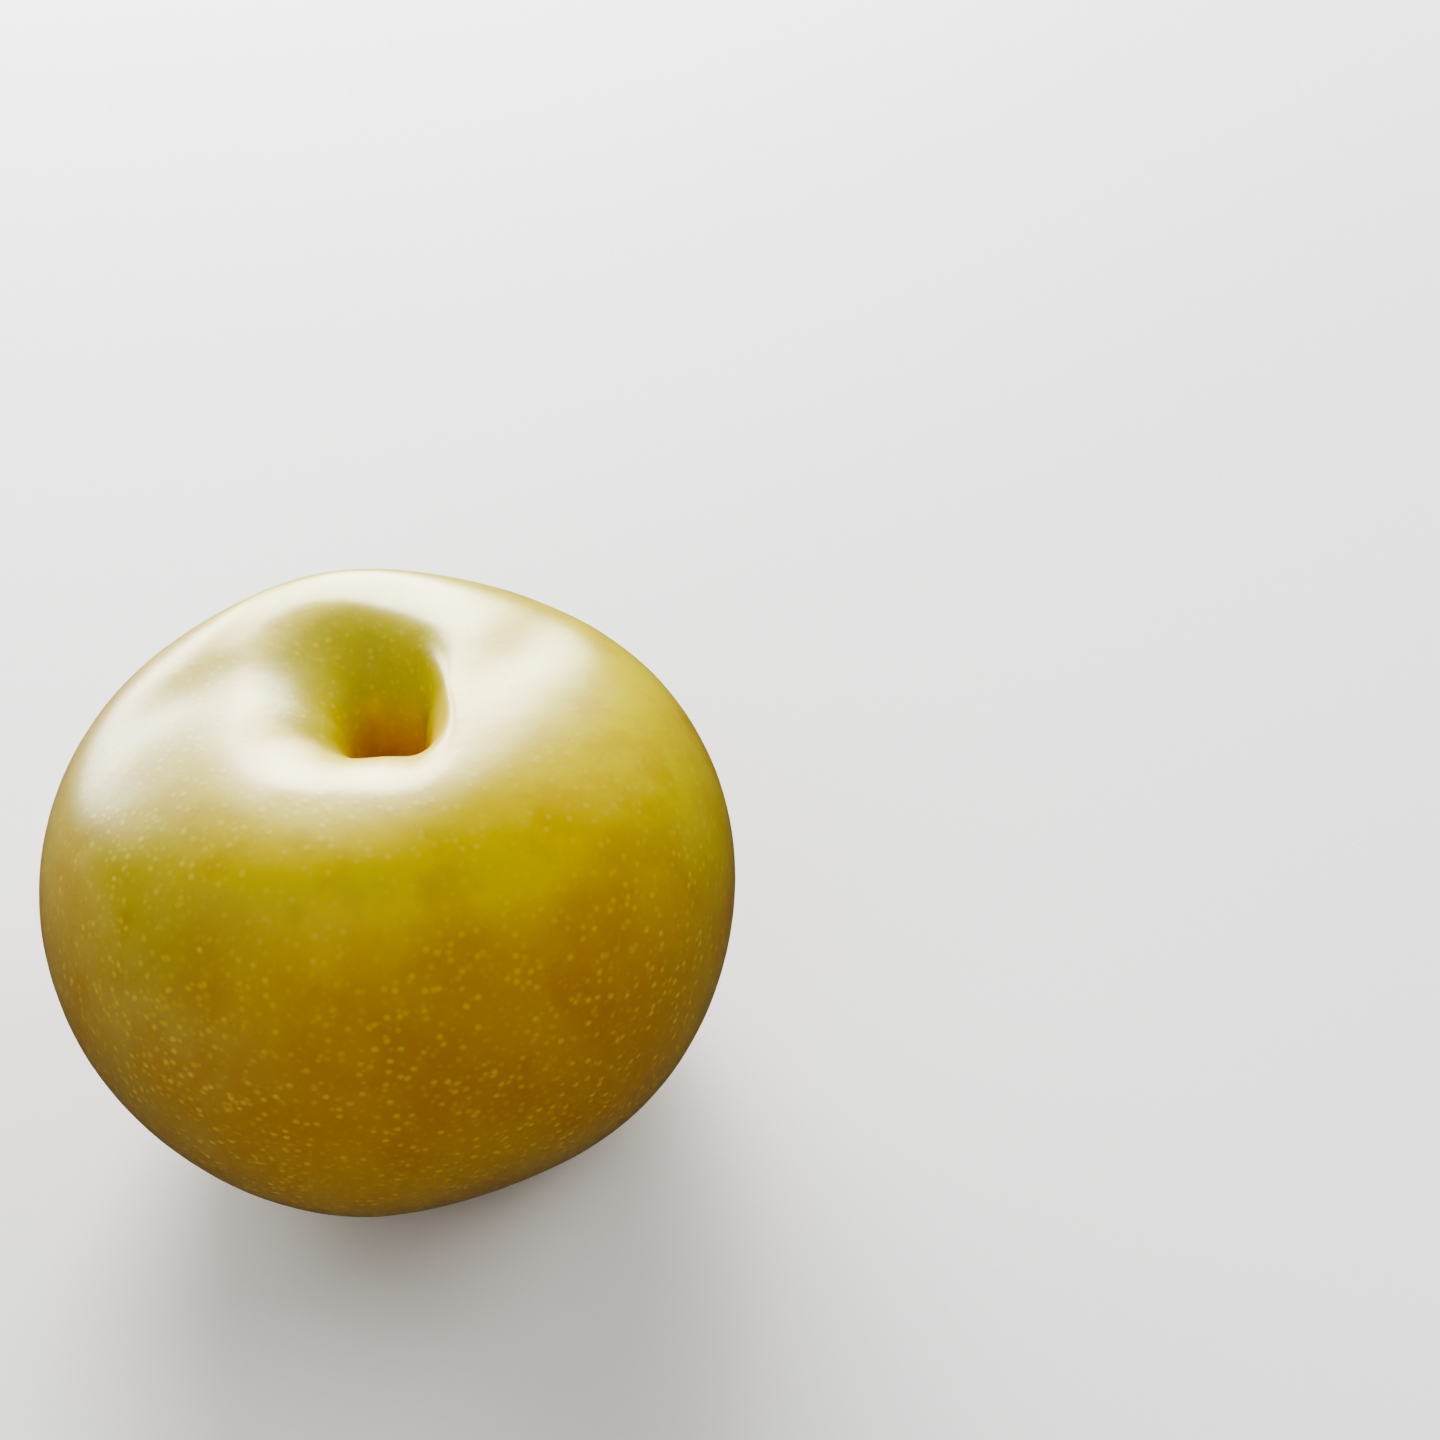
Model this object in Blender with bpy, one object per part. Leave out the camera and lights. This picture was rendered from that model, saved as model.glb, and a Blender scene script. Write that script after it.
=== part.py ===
"""A round Asian pear without its stalk, as one closed solid.

The fruit stands upright along +Z on a narrow flat ring around its calyx basin. Its
body is a turned meridian, which is then given the unevenness of grown fruit. The
origin is in the middle of the footprint, on the surface that the fruit rests on.
Lengths are in metres and directions are in degrees from +X towards +Y.
"""

import math

import bmesh
import bpy
from mathutils import Vector
from mathutils.geometry import interpolate_bezier

# Body: a quarter curve from the crest to the widest level, and one from there to the ring
FRUIT_WIDTH = 0.0910
FRUIT_HEIGHT = 0.0762
EQUATOR_HEIGHT = 0.0425
SHOULDER_FULLNESS = 0.605
HIP_FULLNESS = 0.510

# Stalk cavity: a rounded lip inside the crest circle, a narrow throat, a cupped floor
CREST_RADIUS = 0.0178
THROAT_RADIUS = 0.0062
THROAT_DEPTH = 0.0095
CAVITY_DEPTH = 0.0240
CAVITY_FLOOR_RADIUS = 0.0036
LIP_ROUNDNESS = 0.36
WALL_STEEPNESS = 0.60
THROAT_TAPER = 0.0016
MOUTH_SHIFT = Vector((-0.0020, 0.0020, 0.0))
MOUTH_STRETCH = 0.20
MOUTH_STRETCH_DIRECTION = 104.0
MOUTH_FADE = 0.0180
THROAT_SHIFT = Vector((0.0053, 0.0008, 0.0))
CORNERS = 4
CORNER_FULLNESS = 0.070
CORNER_DIRECTION = -48.0
CORNER_FADE = 0.0080
CORNER_LEAN = 0.6
CORNER_LEAN_DIRECTION = -10.0

# Underside: the flat ring that the fruit stands on, and the calyx basin inside it
RING_RADIUS = 0.0170
RING_WIDTH = 0.0022
BASIN_DEPTH = 0.0095
BASIN_FLOOR_RADIUS = 0.0050

# Unevenness of the grown body
OVALNESS = 0.031
OVAL_DIRECTION = 0.0
THREE_SIDEDNESS = 0.019
THREE_SIDED_DIRECTION = -6.0
TOP_SHIFT = Vector((-0.0003, 0.0, 0.0))
SHOULDER_RISE = 0.0014
SHOULDER_RISE_DIRECTION = -60.0
CARPELS = 5
CARPEL_SWELL = 0.019
CARPEL_DIRECTION = -27.0

# Shallow furrows from the cavity's mouth out over the shoulder. Each starts in one
# direction at the lip and has turned to the other where it dies out, a little inside
# the widest level.
FURROWS = (
    {"start": 8.0, "end": 58.0, "depth": 0.0009, "half_width": 0.0052},
    {"start": 154.0, "end": 188.0, "depth": 0.0009, "half_width": 0.0060},
)
FURROW_INNER_RADIUS = 0.0090
FURROW_END_INSET = 0.0055

# Mesh
SECTORS = 64
FLOOR_STEPS = 8
LIP_STEPS = 11
SHOULDER_STEPS = 12
HIP_STEPS = 11
BASIN_STEPS = 8
MERGE_DISTANCE = 0.00001

# Skin
SKIN_COLOUR = (0.42, 0.26, 0.02, 1.0)
SKIN_ROUGHNESS = 0.45


def remove_all_objects():
    """Empty the scene of whatever it starts with."""
    for item in list(bpy.data.objects):
        bpy.data.objects.remove(item, do_unlink=True)


def smooth_step(value):
    """Ease from 0 to 1 as the value goes from 0 to 1, level at both ends."""
    value = min(max(value, 0.0), 1.0)
    return value * value * (3.0 - 2.0 * value)


def polar(point):
    """Give a point's distance and direction from the axis, the direction in radians."""
    return math.hypot(point.x, point.y), math.atan2(point.y, point.x)


def facing(direction, other, times=1):
    """Cosine of the turn from the other direction, repeated so many times a round."""
    return math.cos(times * (direction - math.radians(other)))


def is_upper(point):
    """Tell the cavity and the shoulder from the basin and the underside."""
    cavity_floor = FRUIT_HEIGHT - CAVITY_DEPTH
    return point.z > (cavity_floor + BASIN_DEPTH) / 2


def meridian():
    """Give the half section from the cavity's floor over the shoulder to the basin's middle."""
    half_width = FRUIT_WIDTH / 2
    ring_outer = RING_RADIUS + RING_WIDTH / 2
    ring_inner = RING_RADIUS - RING_WIDTH / 2
    throat_height = FRUIT_HEIGHT - THROAT_DEPTH
    floor_height = FRUIT_HEIGHT - CAVITY_DEPTH
    lip_reach = LIP_ROUNDNESS * (CREST_RADIUS - THROAT_RADIUS)
    lip_drop = WALL_STEEPNESS * THROAT_DEPTH
    throat_drop = WALL_STEEPNESS * (CAVITY_DEPTH - THROAT_DEPTH)
    shoulder_reach = SHOULDER_FULLNESS * (half_width - CREST_RADIUS)
    shoulder_drop = SHOULDER_FULLNESS * (FRUIT_HEIGHT - EQUATOR_HEIGHT)
    hip_drop = HIP_FULLNESS * EQUATOR_HEIGHT
    hip_reach = HIP_FULLNESS * (half_width - ring_outer)
    basin_reach = (ring_inner - BASIN_FLOOR_RADIUS) / 2

    arcs = (
        (
            (0.0, floor_height),
            (CAVITY_FLOOR_RADIUS, floor_height),
            (THROAT_RADIUS - THROAT_TAPER, throat_height - throat_drop),
            (THROAT_RADIUS, throat_height),
            FLOOR_STEPS,
        ),
        (
            (THROAT_RADIUS, throat_height),
            (THROAT_RADIUS + THROAT_TAPER * lip_drop / throat_drop, throat_height + lip_drop),
            (CREST_RADIUS - lip_reach, FRUIT_HEIGHT),
            (CREST_RADIUS, FRUIT_HEIGHT),
            LIP_STEPS,
        ),
        (
            (CREST_RADIUS, FRUIT_HEIGHT),
            (CREST_RADIUS + shoulder_reach, FRUIT_HEIGHT),
            (half_width, EQUATOR_HEIGHT + shoulder_drop),
            (half_width, EQUATOR_HEIGHT),
            SHOULDER_STEPS,
        ),
        (
            (half_width, EQUATOR_HEIGHT),
            (half_width, EQUATOR_HEIGHT - hip_drop),
            (ring_outer + hip_reach, 0.0),
            (ring_outer, 0.0),
            HIP_STEPS,
        ),
        (
            (ring_inner, 0.0),
            (ring_inner - basin_reach, 0.0),
            (BASIN_FLOOR_RADIUS, BASIN_DEPTH),
            (0.0, BASIN_DEPTH),
            BASIN_STEPS,
        ),
    )
    points = []
    for *corners, steps in arcs:
        knots = [Vector((across, 0.0, height)) for across, height in corners]
        for point in interpolate_bezier(*knots, steps + 1):
            if not points or (point - points[-1]).length > MERGE_DISTANCE:
                points.append(point)
    return points


def turned_body():
    """Turn the meridian about the axis into a closed body."""
    body = bmesh.new()
    verts = [body.verts.new(point) for point in meridian()]
    edges = [body.edges.new(pair) for pair in zip(verts, verts[1:])]
    bmesh.ops.spin(
        body,
        geom=verts + edges,
        cent=(0.0, 0.0, 0.0),
        axis=(0.0, 0.0, 1.0),
        angle=math.tau,
        steps=SECTORS,
        use_merge=True,
    )
    bmesh.ops.remove_doubles(body, verts=body.verts[:], dist=MERGE_DISTANCE)
    bmesh.ops.recalc_face_normals(body, faces=body.faces[:])
    return body


def grow_out_of_round(point):
    """Make the body slightly oval and three-sided, and lobed over the calyx end."""
    distance, direction = polar(point)
    lowness = smooth_step(1.0 - point.z / EQUATOR_HEIGHT)
    flank = smooth_step((distance - RING_RADIUS) / (FRUIT_WIDTH / 2 - RING_RADIUS))
    swell = OVALNESS * facing(direction, OVAL_DIRECTION, 2)
    swell += THREE_SIDEDNESS * facing(direction, THREE_SIDED_DIRECTION, 3)
    swell += CARPEL_SWELL * lowness * flank * facing(direction, CARPEL_DIRECTION, CARPELS)
    point.x *= 1.0 + swell
    point.y *= 1.0 + swell


def square_cavity(point):
    """Give the cavity soft corners, none on its floor and none out on the shoulder."""
    distance, direction = polar(point)
    if is_upper(point):
        onset = smooth_step(distance / THROAT_RADIUS)
        spread = 1.0 - smooth_step((distance - CREST_RADIUS) / CORNER_FADE)
        lean = 1.0 + CORNER_LEAN * facing(direction, CORNER_LEAN_DIRECTION)
        swell = CORNER_FULLNESS * lean * facing(direction, CORNER_DIRECTION, CORNERS)
        swell *= onset * spread
        point.x *= 1.0 + swell
        point.y *= 1.0 + swell


def shift_throat(point):
    """Set the throat off the middle of the crest circle, more so the deeper it goes."""
    distance, _ = polar(point)
    if is_upper(point):
        inwardness = (CREST_RADIUS - distance) / (CREST_RADIUS - THROAT_RADIUS)
        point += THROAT_SHIFT * smooth_step(inwardness)


def place_mouth(point):
    """Make the cavity's mouth oval and set it off the axis, easing off over the shoulder."""
    distance, direction = polar(point)
    if is_upper(point):
        spread = 1.0 - smooth_step((distance - CREST_RADIUS) / MOUTH_FADE)
        stretch = 1.0 + MOUTH_STRETCH * spread * facing(direction, MOUTH_STRETCH_DIRECTION, 2)
        point.x *= stretch
        point.y *= stretch
        point += MOUTH_SHIFT * spread


def raise_shoulder(point):
    """Carry the top over to one side and lift the shoulder there."""
    _, direction = polar(point)
    rise = smooth_step(point.z / FRUIT_HEIGHT)
    point += TOP_SHIFT * rise
    point.z += SHOULDER_RISE * rise * facing(direction, SHOULDER_RISE_DIRECTION)


def cut_furrows(point):
    """Press the shallow furrows into the shoulder."""
    if not is_upper(point):
        return
    distance, direction = polar(point)
    outer_radius = FRUIT_WIDTH / 2 - FURROW_END_INSET
    along = (distance - FURROW_INNER_RADIUS) / (outer_radius - FURROW_INNER_RADIUS)
    along = min(max(along, 0.0), 1.0)
    strength = math.sin(math.pi * along) ** 2
    for furrow in FURROWS:
        course = math.radians(furrow["start"] + (furrow["end"] - furrow["start"]) * along)
        turn = math.remainder(direction - course, math.tau)
        aside = distance * turn / furrow["half_width"]
        point.z -= furrow["depth"] * strength * math.exp(-aside * aside)


def centre_footprint(body):
    """Move the body sideways until its outer limits are equally far from the origin."""
    for axis in (0, 1):
        places = [vert.co[axis] for vert in body.verts]
        middle = (min(places) + max(places)) / 2
        for vert in body.verts:
            vert.co[axis] -= middle


def skin_material():
    """Waxy golden skin."""
    material = bpy.data.materials.new("pear_skin")
    material.use_nodes = True
    surface = material.node_tree.nodes["Principled BSDF"]
    surface.inputs["Base Color"].default_value = SKIN_COLOUR
    surface.inputs["Roughness"].default_value = SKIN_ROUGHNESS
    surface.inputs["Metallic"].default_value = 0.0
    return material


def make_pear():
    """Model the whole fruit as one object."""
    body = turned_body()
    for vert in body.verts:
        square_cavity(vert.co)
        shift_throat(vert.co)
        place_mouth(vert.co)
        grow_out_of_round(vert.co)
        raise_shoulder(vert.co)
        cut_furrows(vert.co)
    centre_footprint(body)
    mesh = bpy.data.meshes.new("pear")
    body.to_mesh(mesh)
    body.free()
    mesh.shade_smooth()
    mesh.materials.append(skin_material())
    pear = bpy.data.objects.new("pear", mesh)
    bpy.context.scene.collection.objects.link(pear)


remove_all_objects()
make_pear()
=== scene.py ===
import math

import bmesh
import bpy
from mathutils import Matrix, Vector


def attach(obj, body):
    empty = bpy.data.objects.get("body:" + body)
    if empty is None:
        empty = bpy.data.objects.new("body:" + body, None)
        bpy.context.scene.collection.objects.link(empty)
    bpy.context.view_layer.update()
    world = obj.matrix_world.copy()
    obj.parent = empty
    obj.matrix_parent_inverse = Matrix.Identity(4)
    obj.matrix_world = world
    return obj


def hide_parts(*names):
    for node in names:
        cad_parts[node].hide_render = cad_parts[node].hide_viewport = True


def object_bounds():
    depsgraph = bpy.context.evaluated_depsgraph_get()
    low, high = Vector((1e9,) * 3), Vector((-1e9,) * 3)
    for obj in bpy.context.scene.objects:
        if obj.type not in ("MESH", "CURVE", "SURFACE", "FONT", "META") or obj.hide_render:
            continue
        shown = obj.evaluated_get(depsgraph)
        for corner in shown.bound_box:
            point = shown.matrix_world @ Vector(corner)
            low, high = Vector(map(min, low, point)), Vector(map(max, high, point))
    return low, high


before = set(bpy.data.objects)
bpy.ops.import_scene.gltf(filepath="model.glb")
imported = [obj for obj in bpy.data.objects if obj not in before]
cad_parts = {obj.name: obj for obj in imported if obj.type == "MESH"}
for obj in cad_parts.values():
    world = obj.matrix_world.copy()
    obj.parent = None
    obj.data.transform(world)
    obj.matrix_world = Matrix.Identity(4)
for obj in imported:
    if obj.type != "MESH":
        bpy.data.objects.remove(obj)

cad_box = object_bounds()


# The pear's body: a round Asian pear without its stalk, firm flesh under a thin waxy skin that
# grew in one with it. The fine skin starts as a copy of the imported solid, so it keeps that shape:
# five weak ribs, a narrow stalk cavity, and a calyx basin with the ring that the fruit rests on.
MERGE_DISTANCE = 0.00002

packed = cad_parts["pear"]
pear = bpy.data.objects.new("pear_skin", packed.data.copy())
bpy.context.scene.collection.objects.link(pear)


def take(piece):
    """Leave only this piece selected and make it the active one."""
    bpy.ops.object.select_all(action="DESELECT")
    piece.select_set(True)
    bpy.context.view_layer.objects.active = piece


take(pear)
bpy.ops.object.mode_set(mode="EDIT")
bpy.ops.mesh.select_all(action="SELECT")
bpy.ops.mesh.remove_doubles(threshold=MERGE_DISTANCE)
bpy.ops.mesh.tris_convert_to_quads(face_threshold=math.pi, shape_threshold=math.pi)


# The stalk scar on the cavity's floor: pulling the stalk out leaves a small pit of torn pith with
# a raised corky rim. A round spot of the skin is raised, and a smaller one in its middle is sunk.
STALK_SCAR = (0.0007, 0.0027)
STALK_RIM_RADIUS = 0.0021
STALK_RIM_HEIGHT = 0.00035
STALK_RIM_HIGHEST = 0.0555
STALK_PIT_RADIUS = 0.0011
STALK_PIT_DEPTH = 0.0007
STALK_PIT_HIGHEST = 0.054
STALK_SCAR_LOWEST = 0.045


def pick_spot(piece, centre, radius, lowest, highest):
    """In edit mode, select just the vertices in a round spot between two heights."""
    bpy.ops.mesh.select_mode(type="VERT")
    bpy.ops.mesh.select_all(action="DESELECT")
    form = bmesh.from_edit_mesh(piece.data)
    for vertex in form.verts:
        away = math.hypot(vertex.co.x - centre[0], vertex.co.y - centre[1])
        vertex.select_set(away < radius and lowest < vertex.co.z < highest)
    form.select_flush_mode()
    bmesh.update_edit_mesh(piece.data)


pick_spot(pear, STALK_SCAR, STALK_RIM_RADIUS, STALK_SCAR_LOWEST, STALK_RIM_HIGHEST)
bpy.ops.transform.translate(value=(0, 0, STALK_RIM_HEIGHT))
pick_spot(pear, STALK_SCAR, STALK_PIT_RADIUS, STALK_SCAR_LOWEST, STALK_PIT_HIGHEST)
bpy.ops.transform.translate(value=(0, 0, -STALK_PIT_DEPTH))


# The calyx scar in the basin underneath: the flower's five sepals drop off early and leave a round
# corky ring about a small dry pit. It faces down, so the ring is lowered and the pit goes up.
CALYX_SCAR = (-0.0007, -0.0003)
CALYX_RIM_RADIUS = 0.0043
CALYX_RIM_HEIGHT = 0.00045
CALYX_PIT_RADIUS = 0.0020
CALYX_PIT_DEPTH = 0.0008
BASIN_LOWEST = 0.0
BASIN_HIGHEST = 0.012

pick_spot(pear, CALYX_SCAR, CALYX_RIM_RADIUS, BASIN_LOWEST, BASIN_HIGHEST)
bpy.ops.transform.translate(value=(0, 0, -CALYX_RIM_HEIGHT))
pick_spot(pear, CALYX_SCAR, CALYX_PIT_RADIUS, BASIN_LOWEST, BASIN_HIGHEST)
bpy.ops.transform.translate(value=(0, 0, CALYX_PIT_DEPTH))
bpy.ops.object.mode_set(mode="OBJECT")


# The unevenness of the grown skin: it is first refined until it is smooth. It then gets shallow
# swells about a fingertip wide, from the flesh's uneven growth, and a finer orange-peel dimpling.
# Neither reaches the ring that the pear rests on.
SKIN_LEVELS = 2
RING_TOP = 0.0012
RING_FADE = 0.004
NOISE_MIDDLE = 0.5
# what it is called, how wide and how high its waves are, and how many layers they have
SWELLS = ("swells", 0.0135, 0.00016, 1)
DIMPLES = ("dimples", 0.0034, 0.00007, 2)

take(pear)
smoother = pear.modifiers.new("fine skin", "SUBSURF")
smoother.levels = SKIN_LEVELS
smoother.render_levels = SKIN_LEVELS
bpy.ops.object.modifier_apply(modifier=smoother.name)

loose = pear.vertex_groups.new(name="free skin")
for vertex in pear.data.vertices:
    freedom = min(max((vertex.co.z - RING_TOP) / RING_FADE, 0.0), 1.0)
    loose.add([vertex.index], freedom, "REPLACE")

for label, wave_width, wave_height, layers in (SWELLS, DIMPLES):
    waves = bpy.data.textures.new(label, "CLOUDS")
    waves.noise_scale = wave_width
    waves.noise_depth = layers
    lift = pear.modifiers.new(label, "DISPLACE")
    lift.texture = waves
    lift.texture_coords = "LOCAL"
    lift.strength = wave_height
    lift.mid_level = NOISE_MIDDLE
    lift.vertex_group = loose.name
    bpy.ops.object.modifier_apply(modifier=lift.name)

bpy.ops.object.shade_smooth()


# The skin's finish: thin wax over golden yellow, greener on the shaded flank with a painted haze of
# sheen high on it, brownish orange low on the front, partly a sun blush and partly painted shade
# and warm bounce light, painted shade low on the right flank, orange down in the cavity with
# painted light brightening it deep down, a painted highlight as a pale ring about the cavity's lip,
# and pale dots of cork all over.
# The paint measures the skin in millimetres, and the shapes above are in metres.
MM = 1000.0
PEAR_HEIGHT = cad_box[1][2] * MM
MOUTH = (-2.5, 8.0)
THROAT = (1.5, 2.6)

# the ground colours, each at its share of the pear's height. In front they get darker and more
# orange low down, partly the skin's blush and partly painted shade and warm bounce light.
FRONT_TONES_AND_SHADE = (
    (0.00, (0.44, 0.270, 0.030, 1)),
    (0.35, (0.48, 0.280, 0.025, 1)),
    (0.58, (0.47, 0.250, 0.014, 1)),
    (0.70, (0.50, 0.265, 0.014, 1)),
    (0.79, (0.52, 0.290, 0.014, 1)),
    (0.86, (0.56, 0.335, 0.018, 1)),
    (0.93, (0.71, 0.530, 0.012, 1)),
    (1.00, (0.62, 0.510, 0.010, 1)),
)
REAR_TONES = (
    (0.00, (0.40, 0.260, 0.020, 1)),
    (0.25, (0.40, 0.270, 0.012, 1)),
    (0.60, (0.48, 0.350, 0.012, 1)),
    (0.85, (0.67, 0.570, 0.016, 1)),
    (1.00, (0.71, 0.620, 0.035, 1)),
)
# olive tones of the shaded flank; their paler, greyer band high up is a painted haze of sheen
SHADED_TONES_AND_HAZE = (
    (0.00, (0.38, 0.240, 0.030, 1)),
    (0.60, (0.39, 0.245, 0.030, 1)),
    (0.70, (0.42, 0.285, 0.040, 1)),
    (0.79, (0.48, 0.355, 0.060, 1)),
    (0.87, (0.51, 0.420, 0.068, 1)),
    (0.94, (0.42, 0.360, 0.016, 1)),
    (1.00, (0.54, 0.470, 0.030, 1)),
)
# the cavity's colours, each at its share of the way from the throat to the mouth: its own orange,
# made brighter near the throat as painted light for the glow through the flesh
CAVITY_TONES_AND_GLOW = (
    (0.00, (0.80, 0.370, 0.020, 1)),
    (0.35, (0.76, 0.440, 0.020, 1)),
    (0.55, (0.62, 0.440, 0.020, 1)),
    (0.75, (0.46, 0.400, 0.035, 1)),
    (1.00, (0.54, 0.480, 0.035, 1)),
)
# painted highlight: a pale ring about the cavity's lip that whitens the wax's sheen there
PAINTED_LIP_SHEEN = (0.860, 0.710, 0.120, 1)
BLUSH = (0.440, 0.200, 0.006, 1)
# painted shade: a dark brown that stands in for the shade low on the right flank
PAINTED_RIGHT_SHADE = (0.310, 0.150, 0.003, 1)
DOT = (0.780, 0.600, 0.070, 1)
CORK = (0.200, 0.110, 0.045, 1)
PITH = (0.090, 0.045, 0.018, 1)

# how much of each colour shows where it is full
SHADED_SHARE = 0.90
PAINTED_RIGHT_SHADE_SHARE = 0.30
MOTTLE_SHARE = 0.24
PATCH_SHARE = 0.40
PAINTED_LIP_SHEEN_SHARE = 0.75
MAIN_DOT_SHARE = 0.42
FINE_DOT_SHARE = 0.36
THIN_CORK_SHARE = 0.5

# where each colour begins and where it is full, in millimetres or as a share
UPPER_HALF = (38.0, 50.0)
FRONT_EDGE = (16.0, -14.0)
FRONT_SLANT = 0.5
SHADED_ACROSS = (2.0, -28.0)
SHADED_ALONG = (25.0, -5.0)
PAINTED_RIGHT_SHADE_ACROSS = (22.0, 42.0)
PAINTED_RIGHT_SHADE_HEIGHT = (70.0, 54.0)
MOTTLE_EDGE = (0.46, 0.68)
PATCH_EDGE = (0.44, 0.68)
PATCH_HEIGHT = (76.0, 58.0)
PAINTED_LIP_SHEEN_EDGE = (23.0, 15.0)
MOUTH_EDGE = (14.5, 11.0)
THROAT_HEIGHT = 56.0
THROAT_TO_MOUTH = 18.0
STALK_SCAR_EDGE = (3.6, 2.0)
STALK_SCAR_HEIGHT = (55.5, 53.0)
STALK_PITH_EDGE = (1.6, 0.9)
CALYX_SCAR_EDGE = (5.4, 4.2)
CALYX_PITH_EDGE = (2.4, 1.6)
CORK_EDGE = (0.30, 0.55)

# noises: waves to the millimetre, layers, how strong the fine layers are, and the squeeze
EVEN = (1.0, 1.0, 1.0)
DRIFT = (0.05, 2.0, 0.50, EVEN)
MOTTLE = (0.15, 3.0, 0.55, (1.0, 1.0, 0.5))
PATCHES = (0.11, 3.0, 0.60, (1.0, 1.0, 0.7))
GRAIN = (1.4, 3.0, 0.60, EVEN)
CORK_GRAIN = (0.9, 4.0, 0.65, EVEN)
CORK_CRUMBS = (1.1, 5.0, 0.70, EVEN)
DRIFT_REACH = 16
MOTTLE_REACH = 5

# dots: cells to the millimetre, the radius of a dot's edge and of its core, and its strength,
# as the chances between which it grows, the weakest dot and the strongest
MAIN_DOTS = (0.66, 0.64, 0.12, (0.0, 0.6, 0.35, 1.0))
FINE_DOTS = (0.95, 0.50, 0.08, (0.1, 0.9, 0.0, 1.0))
CROWDED_HEIGHT = (50.0, 20.0)
CROWDED_SHARE = 0.8
CROWDED_STRENGTH = (0.0, 1.0, 0.35, 1.0)

# the wax, its roughness and relief, and the light that the flesh lets through
WAX_ROUGHNESS = 0.36
GRAIN_ROUGHNESS = 0.10
DOT_ROUGHNESS = 0.10
CORK_ROUGHNESS = 0.35
MAIN_DOT_RELIEF = 0.030
FINE_DOT_RELIEF = 0.018
GRAIN_RELIEF = 0.020
CORK_RELIEF = 0.35
RELIEF_STRENGTH = 0.6
RELIEF_HEIGHT = 0.001
WAX_IOR = 1.45
WAX_COAT = 1.0
FLESH_GLOW = 0.12
FLESH_GLOW_COLOUR = (1.0, 0.55, 0.10)
FLESH_GLOW_DEPTH = 0.0025


class Wire:
    """A socket of a shader. Sums of wires add Math nodes."""

    def __init__(self, tree, socket=None):
        self.tree = tree
        self.socket = socket

    def node(self, kind, settings, inputs, output=0):
        """Add a node: its settings first, then the values or links of its sockets."""
        made = self.tree.nodes.new(kind)
        for setting, value in settings.items():
            if setting == "stops":
                stops = made.color_ramp.elements
                stops.remove(stops[1])
                stops[0].position = value[0][0]
                stops[0].color = value[0][1]
                for position, colour in value[1:]:
                    stops.new(position).color = colour
            else:
                setattr(made, setting, value)
        for place, value in inputs.items():
            if isinstance(value, Wire):
                self.tree.links.new(value.socket, made.inputs[place])
            else:
                made.inputs[place].default_value = value
        return Wire(self.tree, made.outputs[output] if made.outputs else None)

    def maths(self, operation, first, second):
        """Add a Math node that works on two wires or numbers."""
        return self.node("ShaderNodeMath", {"operation": operation}, {0: first, 1: second})

    def __add__(self, other):
        return self.maths("ADD", self, other)

    def __sub__(self, other):
        return self.maths("SUBTRACT", self, other)

    def __rsub__(self, other):
        return self.maths("SUBTRACT", other, self)

    def __mul__(self, other):
        return self.maths("MULTIPLY", self, other)

    def __truediv__(self, other):
        return self.maths("DIVIDE", self, other)

    __radd__ = __add__
    __rmul__ = __mul__

    def ease(self, start, end, low=0.0, high=1.0):
        """Go smoothly from low to high as this value goes from start to end."""
        return self.node(
            "ShaderNodeMapRange",
            {"interpolation_type": "SMOOTHSTEP"},
            {0: self, 1: start, 2: end, 3: low, 4: high},
        )

    def blend(self, under, over):
        """Lay one colour over another, this value being how much of it shows."""
        return self.node(
            "ShaderNodeMix",
            {"data_type": "RGBA", "clamp_factor": True},
            {0: self, 6: under, 7: over},
            output=2,
        )


finish = bpy.data.materials.new("pear_skin")
finish.use_nodes = True
finish.node_tree.nodes.clear()
paint = Wire(finish.node_tree)

place = paint.node("ShaderNodeTexCoord", {}, {}, output="Object")
spot_mm = paint.node("ShaderNodeVectorMath", {"operation": "SCALE"}, {0: place, "Scale": MM})
across, along, height = (
    paint.node("ShaderNodeSeparateXYZ", {}, {0: spot_mm}, output=way) for way in "XYZ"
)


def noise(waves_to_mm, layers, fineness, squeeze):
    """Cloudy values about the middle one."""
    where = paint.node(
        "ShaderNodeVectorMath", {"operation": "MULTIPLY"}, {0: spot_mm, 1: squeeze}
    )
    return paint.node(
        "ShaderNodeTexNoise",
        {"noise_dimensions": "3D"},
        {"Vector": where, "Scale": waves_to_mm, "Detail": layers, "Roughness": fineness},
    )


def tones(stops, share):
    """The colour at this share of the way through a row of tones."""
    return paint.node("ShaderNodeValToRGB", {"stops": stops}, {"Fac": share})


def radius_from(x, y):
    """How far the skin is from an upright axis, in millimetres."""
    spoke = paint.node("ShaderNodeCombineXYZ", {}, {0: across - x, 1: along - y, 2: 0.0})
    return paint.node("ShaderNodeVectorMath", {"operation": "LENGTH"}, {0: spoke}, output="Value")


def dots(cells_to_mm, edge, core, strength):
    """Soft-edged dots, one to a cell, each as strong as its own chance makes it."""
    cell = {"Vector": spot_mm, "Scale": cells_to_mm, "Randomness": 1.0}
    away = paint.node("ShaderNodeTexVoronoi", {"feature": "F1"}, cell, output="Distance")
    tint = paint.node("ShaderNodeTexVoronoi", {"feature": "F1"}, cell, output="Color")
    chance = paint.node("ShaderNodeSeparateColor", {}, {0: tint}, output="Red")
    return away.ease(edge * cells_to_mm, core * cells_to_mm) * chance.ease(*strength)


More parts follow.
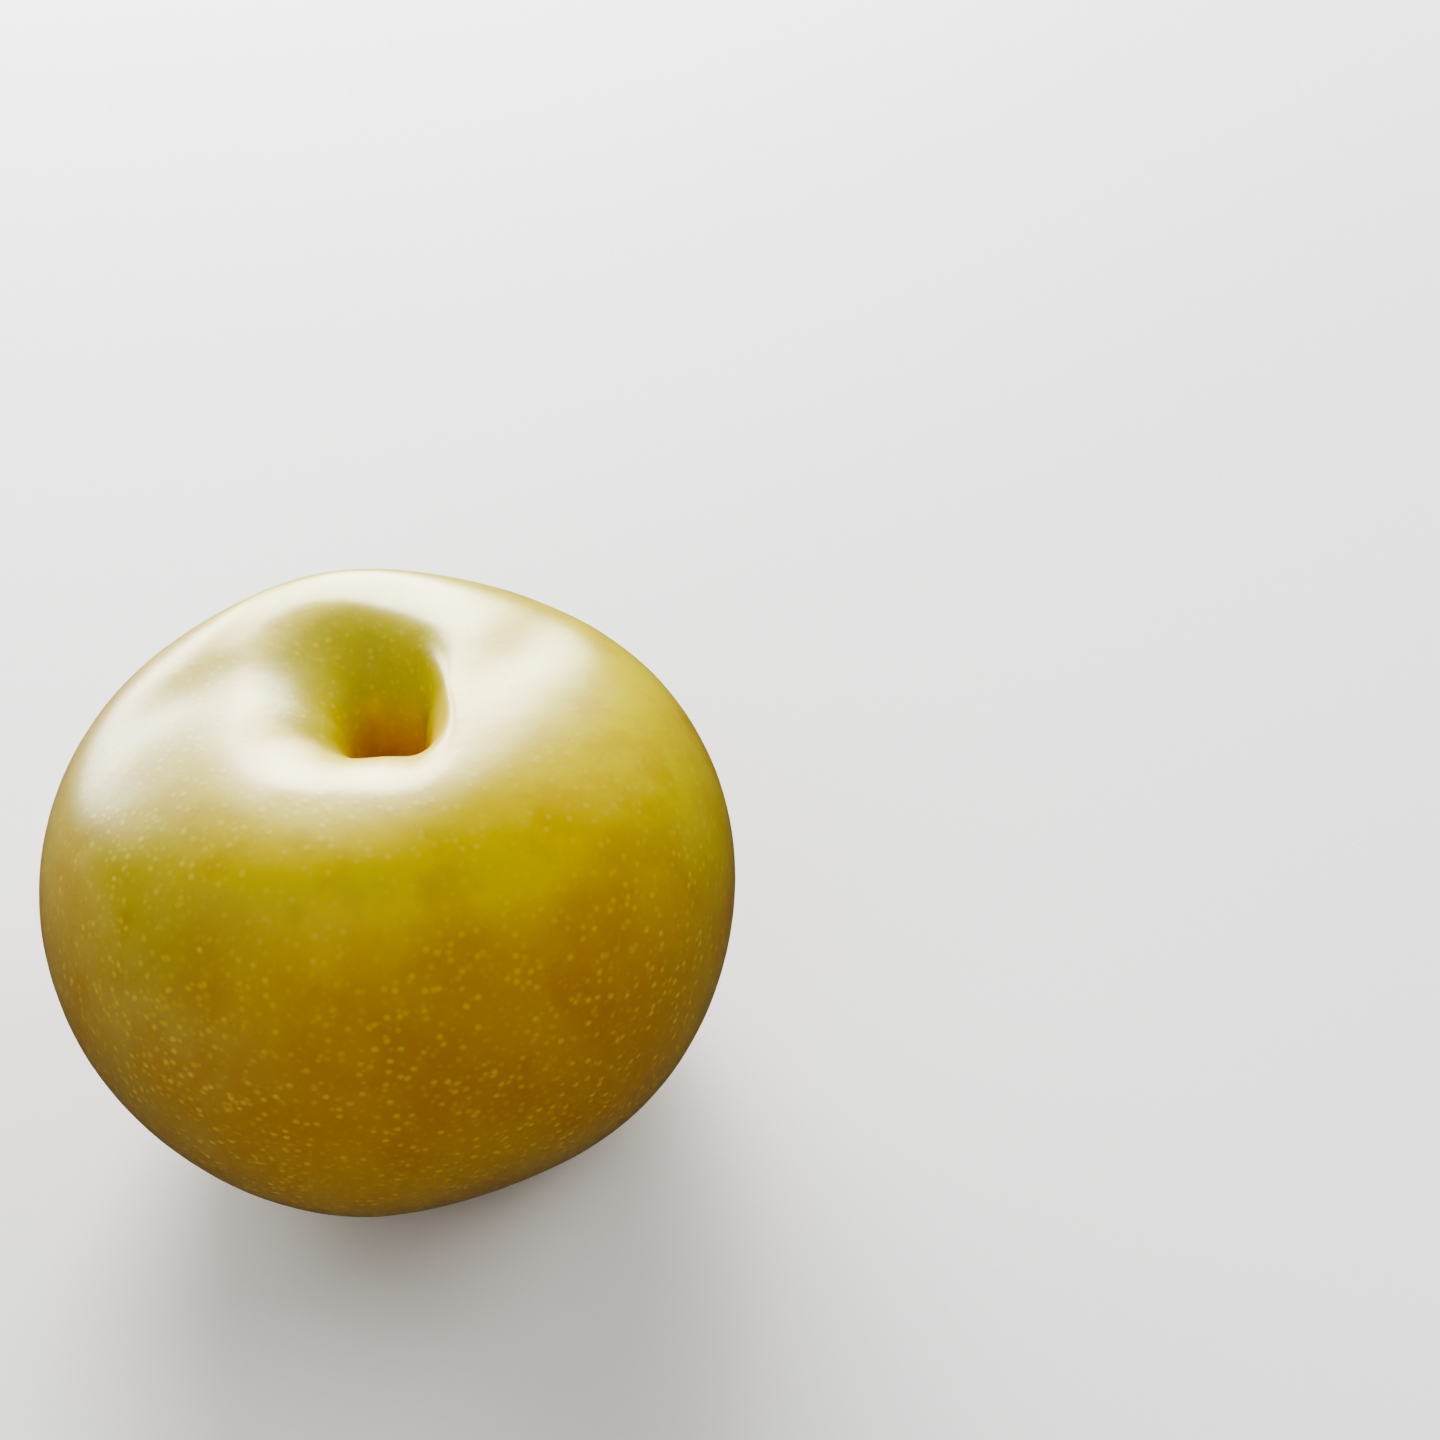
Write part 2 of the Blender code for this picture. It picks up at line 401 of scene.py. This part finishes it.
from_mouth = radius_from(*MOUTH)
from_throat = radius_from(*THROAT)
from_calyx = radius_from(CALYX_SCAR[0] * MM, CALYX_SCAR[1] * MM)
upper = height.ease(*UPPER_HALF)
lower = 1 - upper
mottle = noise(*MOTTLE)
mottle_shift = (mottle - NOISE_MIDDLE) * MOTTLE_REACH
grain = noise(*GRAIN) - NOISE_MIDDLE

# the ground: amber in front, darker and more orange low down partly as painted shade; more yellow
# behind; olive on the shaded flank with a painted haze of sheen high up; and painted shade
# darkening the right flank low down
drift_shift = (noise(*DRIFT) - NOISE_MIDDLE) * DRIFT_REACH
rise = (height + drift_shift + mottle_shift) / PEAR_HEIGHT
front = (along + across * FRONT_SLANT).ease(*FRONT_EDGE)
shaded = across.ease(*SHADED_ACROSS) * along.ease(*SHADED_ALONG)
painted_right_shade = across.ease(*PAINTED_RIGHT_SHADE_ACROSS) * height.ease(*PAINTED_RIGHT_SHADE_HEIGHT)
patches = noise(*PATCHES).ease(*PATCH_EDGE) * height.ease(*PATCH_HEIGHT)
# painted shade: the front's tones darken low down, partly as blush and partly as painted shade and
# warm bounce light
skin = front.blend(tones(REAR_TONES, rise), tones(FRONT_TONES_AND_SHADE, rise))
# painted sheen: the shaded flank's tones carry a paler haze high up
skin = (shaded * SHADED_SHARE).blend(skin, tones(SHADED_TONES_AND_HAZE, rise))
# painted shade: the right flank is darkened towards brown low down
skin = (painted_right_shade * PAINTED_RIGHT_SHADE_SHARE).blend(skin, PAINTED_RIGHT_SHADE)
skin = (mottle.ease(*MOTTLE_EDGE) * MOTTLE_SHARE).blend(skin, BLUSH)
skin = (patches * PATCH_SHARE).blend(skin, BLUSH)

# the cavity: a painted highlight as a pale ring about its lip, greenish below the lip, and orange
# where it narrows, brightened there as painted light for the glow through the flesh
painted_lip_sheen = from_throat.ease(*PAINTED_LIP_SHEEN_EDGE) * upper
inside = from_mouth.ease(*MOUTH_EDGE) * upper
way_up = (height + mottle_shift - THROAT_HEIGHT) / THROAT_TO_MOUTH
# painted highlight: the pale ring about the cavity's lip
skin = (painted_lip_sheen * PAINTED_LIP_SHEEN_SHARE).blend(skin, PAINTED_LIP_SHEEN)
# painted light: the narrow part of the cavity is painted brighter for the glow through the flesh
skin = inside.blend(skin, tones(CAVITY_TONES_AND_GLOW, way_up))

# the dots: large ones all over, fine ones crowded low down, in the cavity and on the flank
crowds = inside + height.ease(*CROWDED_HEIGHT) * CROWDED_SHARE + shaded * CROWDED_SHARE
main_dots = dots(*MAIN_DOTS)
fine_dots = dots(*FINE_DOTS) * crowds.ease(*CROWDED_STRENGTH)
speckle = main_dots * MAIN_DOT_SHARE + fine_dots * FINE_DOT_SHARE
skin = speckle.blend(skin, DOT)

# the scars: patchy cork with darker pith in the middle
stalk_scar = from_throat.ease(*STALK_SCAR_EDGE) * height.ease(*STALK_SCAR_HEIGHT) * upper
scars = stalk_scar + from_calyx.ease(*CALYX_SCAR_EDGE) * lower
torn = from_throat.ease(*STALK_PITH_EDGE) * stalk_scar + from_calyx.ease(*CALYX_PITH_EDGE) * lower
cork = noise(*CORK_GRAIN).ease(*CORK_EDGE) * (1 - THIN_CORK_SHARE) + THIN_CORK_SHARE
skin = (scars * cork).blend(skin, CORK)
skin = torn.blend(skin, PITH)

wax = WAX_ROUGHNESS + grain * GRAIN_ROUGHNESS + speckle * DOT_ROUGHNESS + scars * CORK_ROUGHNESS
relief = (
    main_dots * MAIN_DOT_RELIEF
    + fine_dots * FINE_DOT_RELIEF
    + grain * GRAIN_RELIEF
    + scars * noise(*CORK_CRUMBS) * CORK_RELIEF
)
bump = paint.node(
    "ShaderNodeBump",
    {},
    {"Strength": RELIEF_STRENGTH, "Distance": RELIEF_HEIGHT, "Height": relief},
)
surface = paint.node(
    "ShaderNodeBsdfPrincipled",
    {"subsurface_method": "RANDOM_WALK"},
    {
        "Base Color": skin,
        "Roughness": wax,
        "IOR": WAX_IOR,
        "Coat Weight": WAX_COAT,
        "Coat Roughness": WAX_ROUGHNESS,
        "Subsurface Weight": FLESH_GLOW,
        "Subsurface Radius": FLESH_GLOW_COLOUR,
        "Subsurface Scale": FLESH_GLOW_DEPTH,
        "Normal": bump,
    },
)
paint.node("ShaderNodeOutputMaterial", {}, {"Surface": surface})
pear.data.materials.clear()
pear.data.materials.append(finish)
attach(pear, "root")
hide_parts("pear")


# The floor: a plain pale table top, matt and wide enough to fill the view. The pear's wax doesn't
# mirror it, so that the skin keeps its full colour low down.
FLOOR_WIDTH = 8.0
FLOOR_COLOUR = (0.86, 0.86, 0.855, 1)
FLOOR_ROUGHNESS = 0.7

bpy.ops.object.select_all(action="DESELECT")
bpy.ops.mesh.primitive_plane_add(size=FLOOR_WIDTH)
floor = bpy.context.object
floor.name = "floor"
table_top = bpy.data.materials.new("table_top")
table_top.use_nodes = True
matt = table_top.node_tree.nodes["Principled BSDF"]
matt.inputs["Base Color"].default_value = FLOOR_COLOUR
matt.inputs["Roughness"].default_value = FLOOR_ROUGHNESS
floor.data.materials.append(table_top)
floor.visible_glossy = False


# The light: two soft windows behind the pear shine in its wax, and three large diffusers only
# brighten it. The room's own light is low, but the room looks pale where the view passes the floor.

# each lamp's name, place, width, depth, glow to the square metre, turn in degrees, and whether
# the wax mirrors it
LAMPS = (
    ("back_window", (-0.20, 1.28, 0.71), 0.80, 1.12, 11.5, -22, True),
    ("left_window", (-0.88, 0.94, 0.31), 0.86, 0.60, 8.5, 0, True),
    ("ceiling", (-0.2, -0.1, 1.4), 2.2, 2.0, 0.37, 0, False),
    ("front_diffuser", (-0.5, -1.1, 0.95), 1.6, 1.2, 1.15, 0, False),
    ("right_diffuser", (1.1, 0.5, 0.9), 0.9, 0.9, 3.2, 0, False),
)
LAMP_AIM = Vector((0, 0, 0.04))
ROOM_COLOUR = (1, 1, 1, 1)
ROOM_LIGHT = 0.07
ROOM_PALENESS = 0.70

for label, spot, width, depth, glow, turn, mirrored in LAMPS:
    bpy.ops.object.light_add(type="AREA", location=spot)
    lamp = bpy.context.object
    lamp.name = label
    lamp.data.shape = "RECTANGLE"
    lamp.data.size = width
    lamp.data.size_y = depth
    lamp.data.energy = glow * math.pi * width * depth
    lamp.visible_camera = False
    lamp.visible_glossy = mirrored
    lamp.rotation_euler = (LAMP_AIM - Vector(spot)).to_track_quat("-Z", "Y").to_euler()
    lamp.rotation_euler.rotate_axis("Z", math.radians(turn))

room = bpy.data.worlds.new("room")
room.use_nodes = True
air = Wire(room.node_tree)
in_view = air.node("ShaderNodeLightPath", {}, {}, output="Is Camera Ray")
room_glow = in_view * ROOM_PALENESS + ROOM_LIGHT
background = room.node_tree.nodes["Background"]
background.inputs["Color"].default_value = ROOM_COLOUR
room.node_tree.links.new(room_glow.socket, background.inputs["Strength"])
bpy.context.scene.world = room
bpy.context.scene.view_settings.view_transform = "AgX"
bpy.context.scene.view_settings.look = "AgX - High Contrast"


# The camera: held above the table and in front of the pear, a little to its right, and looking
# down at it without any tilt to the side.
CAMERA_PLACE = (0.04458, -0.16237, 0.2344)
CAMERA_DOWN = 44.84
CAMERA_LENS = 44.9
CAMERA_SENSOR = 36
CAMERA_NEAREST = 0.01

bpy.ops.object.camera_add(
    location=CAMERA_PLACE, rotation=(math.radians(90 - CAMERA_DOWN), 0, 0)
)
camera = bpy.context.object
camera.name = "camera"
camera.data.sensor_width = CAMERA_SENSOR
camera.data.lens = CAMERA_LENS
camera.data.clip_start = CAMERA_NEAREST
bpy.context.scene.camera = camera
